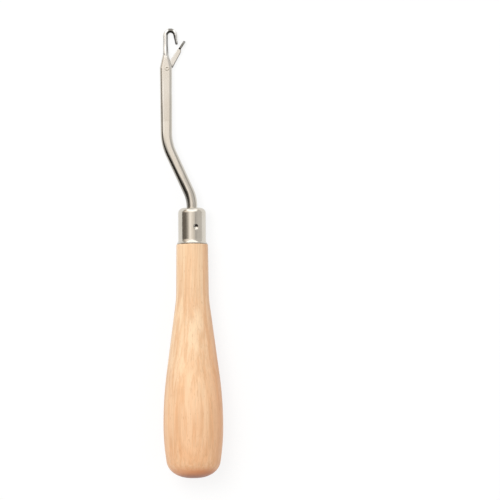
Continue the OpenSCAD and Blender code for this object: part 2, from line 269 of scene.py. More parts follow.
def beechWood():
    # Growth rings are cylinders about a pith that lies below the handle, so the lathe's curve
    # cuts them into nested arches. Fibres, short dark rays and pores all run with the grain.
    look = woodLook
    paint = Paint(bpy.data.materials.new("turned beech"))
    axes = paint.node("SeparateXYZ", None, {0: paint.toolSpace()})
    x = axes
    y = Wire(paint, axes.socket.node.outputs[1])
    z = Wire(paint, axes.socket.node.outputs[2])
    slow = paint.noise((7, 45, 7), detail=2.0)
    fibres = paint.noise((0.32, 9.0, 0.32), detail=4.0, roughness=0.6)
    streaks = paint.noise((1.3, 38.0, 1.3), detail=3.0, roughness=0.6)
    rays = paint.noise((0.3, 1.7, 0.3), detail=1.0)
    patches = paint.noise((9, 22, 9), detail=2.0)
    pithX, pithZ = look["pith"]
    fromPith = ((x - pithX) ** 2 + (z - pithZ) ** 2) ** 0.5
    ringPhase = fromPith / look["ringStep"] + slow * look["ringWobble"] + y * 0.004
    wave = paint.maths("SINE", ringPhase * (2 * math.pi)) * 0.5 + 0.5
    lateWood = wave ** 3
    rayMask = paint.band(rays, 0.63, 0.74)
    # Painted shade makes the right side, away from the lamp, deeper and more orange; the same tone also deepens
    # towards the butt.
    side = paint.maths("MAXIMUM", paint.band(x, 1.0, 10.5), 0.7 - paint.band(y, 2.0, 55.0) * 0.7)
    butt = paint.node("Attribute", {"attribute_name": "endGrain"}, output="Fac")
    colour = paint.mix(lateWood * 0.55, look["pale"], look["lateWood"])
    colour = paint.mix(paint.band(streaks, 0.42, 0.66) * 0.75, colour, look["streak"])
    colour = paint.mix(side * 0.55, colour, look["shadedSide"])
    colour = paint.mix(rayMask * 0.38, colour, look["fleck"])
    shade = paint.band(fibres, 0.25, 0.75) * 0.14 + paint.band(patches, 0.2, 0.8) * 0.06 + 0.86
    colour = paint.mix(1.0, colour, paint.node("CombineXYZ", None, {0: shade, 1: shade, 2: shade}), "MULTIPLY")
    # Painted shade with the end grain: the butt's darker, warmer tone grows stronger on the right, away from the lamp,
    # and the last mix darkens only the butt's right side.
    rightShade = paint.band(x, -6.0, 9.0) * 0.35 + 0.65
    colour = paint.mix(paint.band(butt, 0.08, 0.5) * rightShade, colour, look["buttWarmAndShade"])
    ends = paint.band(paint.noise((1.2, 30.0, 1.2), detail=3.0), 0.3, 0.7)
    colour = paint.mix(paint.band(butt, 0.4, 0.85) * (ends * 0.2 + 0.8), colour, look["buttEndGrainAndShade"])
    buttShade = paint.band(butt, 0.15, 0.6) * paint.band(x, 0.0, 9.5)
    colour = paint.mix(buttShade * 0.45, colour, look["buttRightShade"])
    rough = paint.band(fibres, 0.2, 0.9) * 0.1 + rayMask * 0.08 + (look["roughness"] - 0.05)
    height = fibres * 0.6 + rayMask * -0.5 + lateWood * 0.3
    shader = paint.node("BsdfPrincipled", None, {
        "Base Color": colour,
        "Roughness": rough,
        "Specular IOR Level": 0.4,
        "Normal": paint.bump(height, 0.22, 0.00006),
    })
    return paint.finish(shader)


metalLook = {
    "nickel": (0.665, 0.625, 0.555, 1.0),
    "nickelDull": (0.60, 0.55, 0.47, 1.0),
    "shankNickel": (0.655, 0.62, 0.56, 1.0),
    # The next two tones are painted: dark reflection and shade, and highlight.
    "paintedDarkTone": (0.075, 0.073, 0.066, 1.0),
    "paintedHighlightTone": (0.88, 0.875, 0.85, 1.0),
    "latch": (0.70, 0.68, 0.64, 1.0),
    "rivet": (0.65, 0.615, 0.555, 1.0),
    # The last tone is painted shade, and on the ferrule a real scuff.
    "shadeAndScuffTone": (0.20, 0.175, 0.145, 1.0),
}


def plated(name, colour, roughness, brush, shadeName="shade", shadeColour="shadeAndScuffTone", brushDepth=0.05):
    # Plated metal: its tone drifts a little, fine polishing lines run the way that brush is
    # stretched, a stored shade from 0 to 1 mixes in painted shade and painted dark reflections
    # (on the ferrule also a real scuff), and a second stored number mixes in a painted highlight.
    paint = Paint(bpy.data.materials.new(name))
    drift = paint.noise((3.5, 6.0, 3.5), detail=3.0)
    lines = paint.noise(brush, detail=3.0, roughness=0.65)
    smudge = paint.noise((2.2, 3.4, 2.2), detail=4.0, roughness=0.7)
    shadeAndScuff = paint.node("Attribute", {"attribute_name": shadeName}, output="Fac")
    tone = paint.mix(paint.band(drift, 0.3, 0.75) * 0.5, metalLook[colour], metalLook["nickelDull"])
    tone = paint.mix(paint.band(lines, 0.45, 0.8) * 0.22, tone, metalLook["nickelDull"])
    rubbed = paint.node("Attribute", {"attribute_name": "rubbed"}, output="Fac")
    tone = paint.mix(rubbed, tone, metalLook["paintedHighlightTone"])
    tone = paint.mix(shadeAndScuff, tone, metalLook[shadeColour])
    rough = paint.band(smudge, 0.4, 0.8) * 0.07 + paint.band(lines, 0.4, 0.8) * brushDepth
    rough = rough + shadeAndScuff * 0.1 + roughness
    shader = paint.node("BsdfPrincipled", None, {
        "Base Color": tone,
        "Metallic": 1.0,
        "Roughness": rough,
        "Normal": paint.bump(lines * 0.7 + smudge * 0.3, 0.08, 0.00002),
    })
    return paint.finish(shader)


# The handle

handleSizes = {
    "length": 85.7,
    "bellyRadius": 10.95,
    "bellyAt": 19.3,
    "domeLength": 6.2,
    "domeBlunt": 2.4,
    "buttFlatRadius": 2.0,
    "barrelRadius": 85.0,
    "bellyCurveRadius": 144.0,
    "taper": math.radians(7.6),
    "waistRadius": 40.0,
    "neckRadius": 5.8,
    "neckAngle": math.radians(0.6),
    "edgeBreak": 0.25,
    "tenonRadius": 4.57,
    "tenonEnd": 98.57,
    "tenonCorner": 1.4,
    "boreRadius": 1.99,
    "boreBottom": 50.66,
    "borePoint": 3.0,
    "borePointRadius": 0.69,
    "columns": 144,
}

punch = {"height": 91.8, "turn": math.radians(16), "radius": 1.25, "centre": 5.85}


def punchFloor(height, turn, radius):
    # How far from the axis the punch's ball of that radius reaches inward, along the ray at
    # that height and turn: c cos t - sqrt(r^2 - (c sin t)^2 - dy^2), c being its centre.
    away = turn - punch["turn"]
    reach = radius ** 2 - (punch["centre"] * np.sin(away)) ** 2 - (height - punch["height"]) ** 2
    floor = punch["centre"] * np.cos(away) - np.sqrt(np.maximum(reach, 0))
    return np.where((reach > 0) & (np.cos(away) > 0), floor, 99.0)


def pressedIn(grid, ball, softness, rows):
    # Moves the points of the given rows in to the punch's floor, where it lies deeper than
    # the surface. The two are joined by a smooth minimum, which rounds the dent's edge.
    points = grid[rows]
    radius = np.hypot(points[..., 0], points[..., 2])
    turn = np.arctan2(points[..., 0], points[..., 2])
    floor = np.minimum(punchFloor(points[..., 1], turn, ball), radius + 4 * softness)
    blend = np.clip(0.5 + 0.5 * (radius - floor) / softness, 0, 1)
    pressed = radius * (1 - blend) + floor * blend - softness * blend * (1 - blend)
    scale = np.minimum(pressed / radius, 1)
    grid[rows] = points * np.stack([scale, np.ones_like(scale), scale], axis=-1)


def handleOutline():
    # (radius, height) from the middle of the butt, up the outside, over the tenon and down
    # the tang's bore: a blunt dome on a long barrel arc, the belly's arc, a straight taper, a
    # hollow waist arc, and the neck. The dome is a superellipse: (sin a, cos a) to a power.
    s = handleSizes

    def barrel(height):
        fall = np.sqrt(s["barrelRadius"] ** 2 - (s["bellyAt"] - height) ** 2)
        return s["bellyRadius"] - s["barrelRadius"] + fall

    power = 2 / s["domeBlunt"]
    flatTurn = math.asin((s["buttFlatRadius"] / barrel(0)) ** (1 / power))
    parted = s["domeLength"] * (1 - math.cos(flatTurn) ** power)
    a = np.linspace(flatTurn, math.pi / 2, 60)
    domeHeight = s["domeLength"] * (1 - np.maximum(np.cos(a), 0) ** power) - parted
    dome = np.stack([barrel(domeHeight) * np.sin(a) ** power, domeHeight], axis=-1)
    up = np.linspace(domeHeight[-1], s["bellyAt"], 24)[1:]
    barrelPart = np.stack([barrel(up), up], axis=-1)
    b = np.linspace(0, s["taper"], 24)[1:]
    curve = s["bellyCurveRadius"]
    shoulder = np.stack([s["bellyRadius"] - curve * (1 - np.cos(b)), s["bellyAt"] + curve * np.sin(b)], axis=-1)
    fromR, fromY = shoulder[-1]
    tanTaper, tanNeck = math.tan(s["taper"]), math.tan(s["neckAngle"])
    waistY = (fromR + fromY * tanTaper - s["neckRadius"] - s["length"] * tanNeck) / (tanTaper - tanNeck)
    waistR = s["neckRadius"] + (s["length"] - waistY) * tanNeck
    tangent = s["waistRadius"] * math.tan((s["taper"] - s["neckAngle"]) / 2)
    centre = (
        waistR + tangent * math.sin(s["taper"]) + s["waistRadius"] * math.cos(s["taper"]),
        waistY - tangent * math.cos(s["taper"]) + s["waistRadius"] * math.sin(s["taper"]),
    )
    waist = arc(centre, -s["waistRadius"], math.degrees(s["taper"]), math.degrees(s["neckAngle"]), 16)
    brk, top = s["edgeBreak"], s["length"]
    edge = arc((s["neckRadius"] - brk, top - brk), brk, 0, 90, 7)
    tenon, corner, end = s["tenonRadius"], s["tenonCorner"], s["tenonEnd"]
    bore, bottom = s["boreRadius"], s["boreBottom"]
    return np.vstack([
        line((0.25, 0), (s["buttFlatRadius"] - 0.05, 0), 6),
        dome,
        barrelPart,
        shoulder,
        line(shoulder[-1], waist[0], 30)[1:],
        waist,
        line(waist[-1], edge[0], 20)[1:],
        edge,
        line(edge[-1], (tenon, top), 4)[1:],
        line((tenon, top), (tenon, end - corner), 44),
        line((tenon, end - corner), (tenon - corner, end), 4),
        line((tenon - corner, end), (bore, end), 4),
        line((bore, end), (bore, bottom + s["borePoint"]), 30),
        line((bore, bottom + s["borePoint"]), (s["borePointRadius"], bottom), 6),
        [(s["borePointRadius"], bottom)],
    ])


def makeHandle():
    outline = handleOutline()
    turns = np.linspace(0, 2 * math.pi, handleSizes["columns"], endpoint=False)
    grid = lathe(outline, turns)
    onTenon = np.flatnonzero((outline[:, 0] == handleSizes["tenonRadius"]) & (outline[:, 1] > handleSizes["length"]))
    pressedIn(grid, punch["radius"] + 0.53, 0.06, onTenon)
    handle = makePiece("handle", grid, (0, 0, 0), (0, handleSizes["boreBottom"], 0))
    # The butt shows end grain, darker, and painted shade with it: fully on its flat, and less as the dome turns to the
    # side.
    slope = np.gradient(outline[:, 1]) / (np.hypot(np.gradient(outline[:, 0]), np.gradient(outline[:, 1])) + 1e-9)
    endGrain = np.where(outline[:, 1] < handleSizes["bellyAt"], 1 - slope, 0)
    endGrain[outline[:, 1] > 20] = 0
    setAttribute(handle, "endGrain", np.append(np.repeat(endGrain, handleSizes["columns"]), [1, 0]))
    handle.data.materials.append(beechWood())
    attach(handle, "hook_body")
    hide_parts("handle")
    print("handle turned")


# The ferrule

ferruleSizes = {
    "mouth": 85.7,
    "radius": 5.1,
    "length": 13.4,
    "wall": 0.5,
    "shoulder": 1.9,
    "flareLength": 1.9,
    "flare": 0.45,
    "lip": 0.4,
    "lipRound": 0.1,
    "hole": 1.98,
}


def ferruleOutline():
    # (radius, height above the mouth), once round the wall: over the closed end and its round
    # shoulder, down the side, out along a hollow flare to the lip, and back up the inside.
    s = ferruleSizes
    side, shoulder, top = s["radius"], s["shoulder"], s["length"]
    inner = side - s["wall"]
    flareSpan = s["flareLength"] - s["lip"]
    a = np.linspace(0, math.pi / 2, 16)
    flare = np.stack([
        side + s["flare"] * (1 - np.cos(a)),
        s["flareLength"] - flareSpan * np.sin(a),
    ], axis=-1)[:-1]
    lipR = side + s["flare"] - s["lipRound"]
    return np.vstack([
        arc((s["hole"] + 0.08, top - 0.08), 0.08, 180, 90, 4),
        line((s["hole"] + 0.08, top), (side - shoulder, top), 8)[1:],
        arc((side - shoulder, top - shoulder), shoulder, 90, 0, 20),
        line((side, top - shoulder), (side, s["flareLength"]), 110)[1:],
        flare,
        arc((lipR, s["lip"] - s["lipRound"]), s["lipRound"], 90, 0, 5),
        arc((lipR, s["lipRound"] * 0.6), s["lipRound"] * 0.6, 0, -90, 4) + (0.04, 0),
        line((lipR, 0), (inner, 0), 5)[1:],
        line((inner, 0), (inner, top - shoulder), 90),
        arc((side - shoulder, top - shoulder), shoulder - s["wall"], 0, 90, 10),
        line((side - shoulder, top - s["wall"]), (s["hole"], top - s["wall"]), 5)[1:],
        line((s["hole"], top - s["wall"]), (s["hole"], top - 0.08), 3),
    ])


def makeFerrule():
    outline = ferruleOutline() + (0, ferruleSizes["mouth"])
    # Columns stand close together near the punch mark, and wider apart elsewhere.
    near = np.linspace(-24, 24, 96, endpoint=False)
    far = np.linspace(24, 336, 150, endpoint=False)
    turns = np.radians(np.concatenate([near, far])) + punch["turn"]
    grid = lathe(outline, turns)
    straight = (outline[:, 1] > ferruleSizes["mouth"] + 1.4) & (outline[:, 1] < ferruleSizes["mouth"] + 11.5)
    outside = outline[:, 0] > ferruleSizes["radius"] - 0.01
    inside = np.abs(outline[:, 0] - ferruleSizes["radius"] + ferruleSizes["wall"]) < 0.01
    pressedIn(grid, punch["radius"], 0.1, np.flatnonzero(straight & outside))
    pressedIn(grid, punch["radius"] + ferruleSizes["wall"], 0.1, np.flatnonzero(straight & inside))
    ferrule = makePiece("ferrule", grid, loop=True)
    height = outline[:, 1] - ferruleSizes["mouth"]
    # Painted shade: the lip at the mouth, where it meets the wood, and the closed end round the rod's hole are
    # darkened.
    shade = 0.9 * (1 - smoothStep(0.05, 0.33, height)) + 0.6 * (outline[:, 0] < 2.3) * (height > 13)
    shade = shade[:, None] + np.zeros(len(turns))
    # A fine scuff runs up from the punch mark, a little to one side of it.
    aside = np.degrees(turns - punch["turn"])[None, :] + 2.6
    above = outline[:, 1, None] - punch["height"]
    scuff = np.exp(-(aside / 0.9) ** 2) * smoothStep(1.1, 1.6, above) * (1 - smoothStep(3.4, 4.8, above))
    setAttribute(ferrule, "shade", np.clip(shade + 0.4 * scuff * outside[:, None], 0, 1))
    ferrule.data.materials.append(plated("ferrule nickel", "nickel", 0.13, (0.25, 9.0, 0.25)))
    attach(ferrule, "hook_body")
    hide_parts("ferrule")
    print("ferrule drawn")


# The shank: tang, crank, slotted blade and hook, as one section carried along one path

shankSizes = {
    "tangFrom": 50.7,
    "pointLength": 3.0,
    "pointRadius": 0.65,
    "rod": 1.95,
    "pressedHalf": 2.04,
    "bendAt": 99.7,
    "crank": 24.4,
    "offset": 9.2,
    "lowerBend": 13.5,
    "upperBend": 20.0,
    "pressFrom": 100.5,
    "pressFull": 131.0,
    "halfThickness": 1.1,
    "spread": 3.0,
    "rootHalf": 2.1,
    "bladeHalf": 2.26,
    "bladeLength": 23.3,
    "cheek": 0.1,
    "nose": 5.0,
    "neckTaper": 4.0,
    "stem": 2.9,
    "wire": 0.95,
    "bowWire": 0.8,
    "lean": 0.15,
    "bow": 1.86,
    "beardLean": 6.7,
    "beard": 3.15,
    "tip": 0.45,
    "slotHalf": 0.375,
    "cutter": 10.0,
    "cutterBack": 1.8,
    "cutterX": -0.5749,
    "rivetX": -8.79,
}


def shankPath():
    # The path's length at each landmark, and a function that gives the centre line at any
    # length: its heading bends left, back again, and round the bow, and the place is the
    # running sum of the heading's direction.
    s = shankSizes
    crank = math.radians(s["crank"])
    drop = (s["lowerBend"] + s["upperBend"]) * (1 - math.cos(crank))
    slant = (s["offset"] - drop) / math.sin(crank)
    runs = [
        ("bend", s["bendAt"] - s["tangFrom"]),
        ("slant", s["lowerBend"] * crank),
        ("upper", slant),
        ("blade", s["upperBend"] * crank),
        ("rivet", s["bladeLength"]),
        ("cheek", s["cheek"]),
        ("nose", s["nose"]),
        ("wire", s["neckTaper"]),
        ("bow", s["stem"]),
        ("beard", s["bow"] * math.radians(180 - s["beardLean"])),
        ("tip", s["beard"]),
    ]
    marks = {}
    total = 0.0
    for name, length in runs:
        total += length
        marks[name] = total
    # The nose leans a little outward, and the neck's taper leans back by as much.
    lean = math.degrees(2 * s["lean"] / (marks["wire"] - marks["cheek"]))
    knots = [0, marks["bend"], marks["slant"], marks["upper"], marks["blade"], marks["cheek"], marks["nose"],
             marks["wire"], marks["bow"], marks["beard"], total]
    turned = s["beardLean"] - 180
    turnDegrees = [0, 0, s["crank"], s["crank"], 0, 0, lean, 0, 0, turned, turned]
    fine = np.linspace(0, total + s["tip"], 40001)
    heading = np.radians(np.interp(fine, knots, turnDegrees))
    middle = (heading[1:] + heading[:-1]) / 2
    step = fine[1] - fine[0]
    x = np.concatenate([[0], np.cumsum(-np.sin(middle) * step)])
    y = np.concatenate([[0], np.cumsum(np.cos(middle) * step)]) + s["tangFrom"]

    def at(length):
        return (np.interp(length, fine, x), np.interp(length, fine, y), np.interp(length, fine, heading))

    return marks, at


def shankSection(along, y, marks):
    # Half width, half thickness, half flat and flatness at each length. The round rod is
    # pressed flatter all along the slant and the upper bend, and keeps round edges. The blade
    # widens to the rivet, runs out in the nose's V, and thins to the wire and the point.
    s, m = shankSizes, marks
    bowTop = (m["bow"] + m["beard"]) / 2
    lengths = [0, s["pointLength"], m["bend"], m["slant"], m["blade"] + s["spread"], m["cheek"], m["nose"],
               m["wire"], m["bow"], bowTop, m["beard"], m["tip"]]
    halfWidths = [s["pointRadius"], s["rod"], s["rod"], s["pressedHalf"], s["rootHalf"], s["bladeHalf"],
                  s["halfThickness"], s["wire"], s["wire"], s["bowWire"], s["bowWire"], s["tip"]]
    width = np.interp(along, lengths, halfWidths)
    hookThick = np.interp(along, lengths[6:], halfWidths[6:])
    # The neck's taper runs in and out softly, so that no crease shows at its ends.
    inNeck = (along > m["nose"]) & (along < m["wire"])
    eased = s["halfThickness"] + (s["wire"] - s["halfThickness"]) * smoothStep(m["nose"], m["wire"], along)
    width, hookThick = np.where(inNeck, eased, width), np.where(inNeck, eased, hookThick)
    pressed = np.maximum(width - s["halfThickness"], 0) * np.clip(
        (y - s["pressFrom"]) / (s["pressFull"] - s["pressFrom"]), 0, 1
    )
    rodThick = np.maximum(width - pressed, np.minimum(s["halfThickness"], width))
    thick = np.where(along < m["rivet"] - 10, rodThick, hookThick)
    flatness = smoothStep(s["pressFrom"], s["pressFrom"] + 14, y)
    flatness *= 1 - smoothStep(m["nose"] - 1.1, m["nose"] + 0.3, along)
    return width, thick, np.maximum(width - thick, 0), flatness


def shankStations(marks):
    # Lengths at which the section stands: closer together in the bends, round the slot and
    # along the hook.
    s = shankSizes
    m = marks
    pieces = [
        np.linspace(0, s["pointLength"], 8, endpoint=False),
        np.linspace(s["pointLength"], m["bend"], 60, endpoint=False),
        np.linspace(m["bend"], m["blade"], 110, endpoint=False),
        np.linspace(m["blade"], m["rivet"] - 12, 40, endpoint=False),
        np.linspace(m["rivet"] - 12, m["wire"], 230, endpoint=False),
        np.linspace(m["wire"], m["bow"], 20, endpoint=False),
        np.linspace(m["bow"], m["beard"], 70, endpoint=False),
        np.linspace(m["beard"], m["tip"], 26),
    ]
    return np.concatenate(pieces)


def sectionAngles():
    # The places round a section: for the round form as angles, and for the flat form as the
    # side of the flat (-1 to 1) with the angle of the rounded edge. The last run is the
    # slot's mouth, on the side where the hook opens.
    lip = math.degrees(math.asin(shankSizes["slotHalf"] / shankSizes["halfThickness"]))
    arcs = [
        (np.linspace(lip, 60, 12, endpoint=False), np.linspace(lip, 90, 12, endpoint=False), np.ones(12)),
        (np.linspace(60, 120, 10, endpoint=False), np.full(10, 90.0), np.linspace(1, -1, 10, endpoint=False)),
        (np.linspace(120, 240, 26, endpoint=False), np.linspace(90, 270, 26, endpoint=False), -np.ones(26)),
        (np.linspace(240, 300, 10, endpoint=False), np.full(10, 270.0), np.linspace(-1, 1, 10, endpoint=False)),
        (np.linspace(300, 360 - lip, 13), np.linspace(270, 360 - lip, 13), np.ones(13)),
    ]
    return [np.concatenate(column) for column in zip(*arcs)], lip


def makeShank():
    s = shankSizes
    marks, at = shankPath()
    along = shankStations(marks)
    centreX, centreY, heading = at(along)
    width, thick, flat, flatness = (v[:, None] for v in shankSection(along, centreY, marks))
    (roundAngle, edgeAngle, flatSide), lip = sectionAngles()
    roundA, edgeA = np.radians(roundAngle), np.radians(edgeAngle)
    roundX = width * np.cos(roundA)
    roundZ = thick * np.sin(roundA)
    flatX = flat * flatSide + thick * np.cos(edgeA)
    flatZ = thick * np.sin(edgeA)
    outX = roundX * (1 - flatness) + flatX * flatness
    outZ = roundZ * (1 - flatness) + flatZ * flatness
    # The slot's mouth: either ten points on the closed edge, or the two walls and the floor
    # that the round cutter leaves, whose depth follows the cutter's circle.
    mouth = np.radians(np.linspace(-lip, lip, 12)[1:-1])
    closedX = (flat + thick * np.cos(mouth)) * flatness + width * np.cos(mouth) * (1 - flatness)
    closedZ = thick * np.sin(mouth)
    reach = s["cutter"] ** 2 - (centreY[:, None] - (rivetY(marks, at) - s["cutterBack"])) ** 2
    floorX = s["cutterX"] - np.sqrt(np.maximum(reach, 0)) - centreX[:, None]
    lipX = outX[:, :1]
    open_ = (reach > 0) & (floorX < lipX - 0.03) & (along[:, None] > marks["blade"]) & (along[:, None] < marks["wire"])
    share = np.array([0.33, 0.67, 1, 1, 1, 1, 1, 1, 0.67, 0.33])
    level = np.array([-1, -1, -1, -0.6, -0.2, 0.2, 0.6, 1, 1, 1]) * s["slotHalf"]
    slotX = lipX + (floorX - lipX) * share
    mouthX = np.where(open_, slotX, closedX)
    mouthZ = np.where(open_, level, closedZ)
    acrossX = np.hstack([outX, mouthX])
    up = np.hstack([outZ, mouthZ])
    # The section stands square to the path, its own X turned by the heading.
    x = centreX[:, None] + acrossX * np.cos(heading)[:, None]
    y = centreY[:, None] + acrossX * np.sin(heading)[:, None]
    grid = np.stack([x, y, up], axis=-1)
    # The beard ends in a round tip, as rings of a half ball.
    tip = np.radians(np.linspace(0, 90, 9)[1:-1])[:, None]
    endX, endY, endHeading = (v[-1] for v in (centreX, centreY, heading))
    forward = s["tip"] * np.sin(tip)
    tipAcross = acrossX[-1] * np.cos(tip)
    tipGrid = np.stack([
        endX - forward * math.sin(endHeading) + tipAcross * math.cos(endHeading),
        endY + forward * math.cos(endHeading) + tipAcross * math.sin(endHeading),
        up[-1] * np.cos(tip),
    ], axis=-1)
    grid = np.vstack([grid, tipGrid])
    pole = (endX - s["tip"] * math.sin(endHeading), endY + s["tip"] * math.cos(endHeading), 0)
    shank = makePiece("shank", grid, (0, s["tangFrom"], 0), pole, sharpAngle=40)
    cutAway(shank, rivetShape("cutter", 0.012, 0.6))
    colourShank(shank, marks, at)
    shank.data.materials.clear()
    shank.data.materials.append(plated("shank nickel", "shankNickel", 0.16, (0.4, 7.0, 0.4), shadeColour="paintedDarkTone"))
    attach(shank, "hook_body")
    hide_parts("shank")
    print("shank bent:", len(shank.data.polygons), "faces")
    return marks, at


def rivetY(marks, at):
    return float(at(marks["rivet"])[1])


def toolPoints(mesh):
    # The mesh's vertices back in tool millimetres: the shift undone, then the tilt.
    points = np.empty(len(mesh.vertices) * 3)
    mesh.vertices.foreach_get("co", points)
    x, y, z = (points.reshape(-1, 3) * 1000 - np.array(lying["shift"])).T
    c, s = math.cos(lying["tilt"]), math.sin(lying["tilt"])
    return np.stack([x, y * c - z * s, y * s + z * c], axis=-1)


def colourShank(shank, marks, at):
    # Painted reflections on the hook. Its inside is painted dark, as dark reflection and shade:
    # the stem's and the beard's inner sides and the underside of the bow. Its outside gets a painted highlight.
    s = shankSizes
    x, y, z = toolPoints(shank.data).T
    bowX = float(at(marks["bow"])[0]) + s["bow"]
    bowY = float(at(marks["bow"])[1])
    fromBow = np.hypot(x - bowX, y - bowY) - s["bow"]
    innerStem = smoothStep(-0.15, 0.6, x + s["offset"]) * (x < bowX) * smoothStep(bowY - 9, bowY - 5, y)
    # At the bow's crown the painted dark reflection reaches over to the outer side, and fades there.
    crown = 1 - smoothStep(0.4, 1.45, np.abs(x - bowX - 0.12))
    innerBow = 0.82 * (1 - smoothStep(-0.45, 0.35, fromBow - 0.6 * crown))
    innerBow = np.maximum(innerBow, 0.78 * crown)
    beardMiddle = bowX + s["bow"] + (bowY - y) * 0.117
    innerBeard = (1 - smoothStep(-0.45, 0.05, x - beardMiddle)) * (x >= bowX)
    tipShade = smoothStep(1.9, 2.9, bowY - y) * (x >= bowX)
    intoBow = smoothStep(-0.4, 1.1, y - bowY)
    shade = (innerStem * 0.55 + innerBeard * 0.8 + tipShade * 0.5) * (1 - intoBow) + innerBow * intoBow
    onHook = smoothStep(bowY - 9, bowY - 6, y)
    # The cranked rod gets a painted dark reflection along its left side, and a thin painted dark line on its right.
    pathX, pathY, heading = at(np.linspace(0, marks["rivet"], 900))
    across = (x - np.interp(y, pathY, pathX)) * np.cos(np.interp(y, pathY, heading))
    onRod = 1 - smoothStep(float(at(marks["upper"])[1]), float(at(marks["blade"])[1]), y)
    inward = smoothStep(102, 110, y) * 0.33
    paintedDarkSide = (1 - smoothStep(-1.15, -0.65, across - inward)) * 0.62
    paintedDarkSide = paintedDarkSide * (1 - 1.5 * inward * (1 - smoothStep(-1.8, -1.2, across)))
    darkLine = (1 - smoothStep(0.08, 0.3, np.abs(across - 1.25))) * 0.35
    # The blade's left edge gets a painted dark band lower down, with a painted highlight line
    # beside it, and a slight painted highlight spreads over the blade towards the rivet.
    edgeBand = smoothStep(-1.75, -1.5, across) * (1 - smoothStep(-1.3, -1.12, across)) * 0.48
    edgeBand = edgeBand * smoothStep(123, 127, y) * (1 - smoothStep(133, 140, y))
    brightLine = (1 - smoothStep(0.08, 0.3, np.abs(across + 1.0))) * 0.35
    brightLine = brightLine * smoothStep(124, 128, y) * (1 - smoothStep(141, 149, y))
    setAttribute(shank, "shade", np.clip(shade, 0, 1) * onHook + (paintedDarkSide + darkLine) * onRod + edgeBand)
    onBlade = (0.18 * smoothStep(135, 143, y) + brightLine) * (1 - onHook)
    setAttribute(shank, "rubbed", np.where(y < bowY, 1, 1 - crown) * onHook + onBlade)


# The rivet

rivetSizes = {
    "x": -8.79,
    "y": 150.524,
    "shaft": 0.55,
    "head": 0.95,
    "headDepth": 0.3,
    "halfLength": 1.1,
    "dent": 0.42,
    "dentDepth": 0.05,
    "columns": 48,
}


def rivetShape(name, gap, overrun):
    # The rivet as a turned pin along the tool's Z: with no gap it is the pin itself, dented
    # in the middle of both heads, and with a gap it is the hole that it fills, which then
    # overruns the faces.
    s = rivetSizes
    head, shaft, half = s["head"] + gap, s["shaft"] + gap, s["halfLength"]
    neck = half - s["headDepth"]
    if overrun:
        outer = np.array([(head, half + overrun), (head, half - 0.02)])
        poleHeight = half + overrun
    else:
        a = np.linspace(0.12, 1, 7)
        dent = np.stack([s["dent"] * a, half - s["dentDepth"] * (1 - a ** 2)], axis=-1)
        rim = [(s["dent"] + 0.04, half), (head - 0.03, half), (head, half - 0.006)]
        outer = np.vstack([dent, rim])
        poleHeight = half - s["dentDepth"]
    cone = np.array([((head + shaft) / 2, (half + neck) / 2), (shaft, neck), (shaft, neck / 2)])
    profile = np.vstack([outer, cone])
    profile = np.vstack([profile, profile[::-1] * (1, -1)])
    turns = np.linspace(0, 2 * math.pi, s["columns"], endpoint=False)
    radius, height = profile[:, 0, None], profile[:, 1, None]
    grid = np.stack([
        s["x"] + radius * np.cos(turns),
        s["y"] + radius * np.sin(turns),
        np.broadcast_to(height, (len(profile), len(turns))),
    ], axis=-1)
    return makePiece(name, grid, (s["x"], s["y"], poleHeight), (s["x"], s["y"], -poleHeight))


def makeRivet():
    rivet = rivetShape("latchRivet", 0, 0)
    x, y, z = toolPoints(rivet.data).T
    fromAxis = np.hypot(x - rivetSizes["x"], y - rivetSizes["y"])
    # Painted shade in the dent and at the head's rim.
    dent = 1 - smoothStep(0.26, 0.46, fromAxis)
    rim = smoothStep(rivetSizes["head"] - 0.06, rivetSizes["head"], fromAxis)
    setAttribute(rivet, "shade", np.clip(dent * 0.12 + rim * 0.15, 0, 1))
    rivet.data.materials.append(plated("rivet steel", "rivet", 0.2, (0.4, 7.0, 0.4)))
    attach(rivet, "hook_body")
    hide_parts("latch_rivet")
    print("rivet set")


# The latch

latchSizes = {
    "turn": math.radians(33.296),
    "halfThickness": 0.3,
    "eye": 1.45,
    "inner": 0.7,
    "heel": 1.58,
    "throat": 1.07,
    "spoonFrom": 8.3975,
    "spoonLap": 0.8,
    "spoonLength": 3.5,
    "spoonHalf": 1.1,
    "spoonHalfThickness": 0.4,
    "hollow": 1.0,
    "hollowDepth": 0.3,
    "rootLength": 0.5,
    "hole": 0.6,
}


def rectangleRing(across, edge, corner):
    # The places round a rectangle with round corners: (a, b) from -1 to 1 for the core, and
    # the outward direction (u, v) of the rounding.
    core, out = [], []
    sides = [((-1, -1), (-1, 1), 180, across), ((-1, 1), (1, 1), 90, edge),
             ((1, 1), (1, -1), 0, across), ((1, -1), (-1, -1), -90, edge)]
    for start, end, facing, count in sides:
        t = np.linspace(0, 1, count + 1)[:, None]
        core.append(np.array(start) * (1 - t) + np.array(end) * t)
        out.append(np.tile([math.cos(math.radians(facing)), math.sin(math.radians(facing))], (count + 1, 1)))
        a = np.radians(np.linspace(facing, facing - 90, corner + 2)[1:-1])
        core.append(np.tile(np.array(end, dtype=float), (corner, 1)))
        out.append(np.stack([np.cos(a), np.sin(a)], axis=-1))
    return np.vstack(core), np.vstack(out)


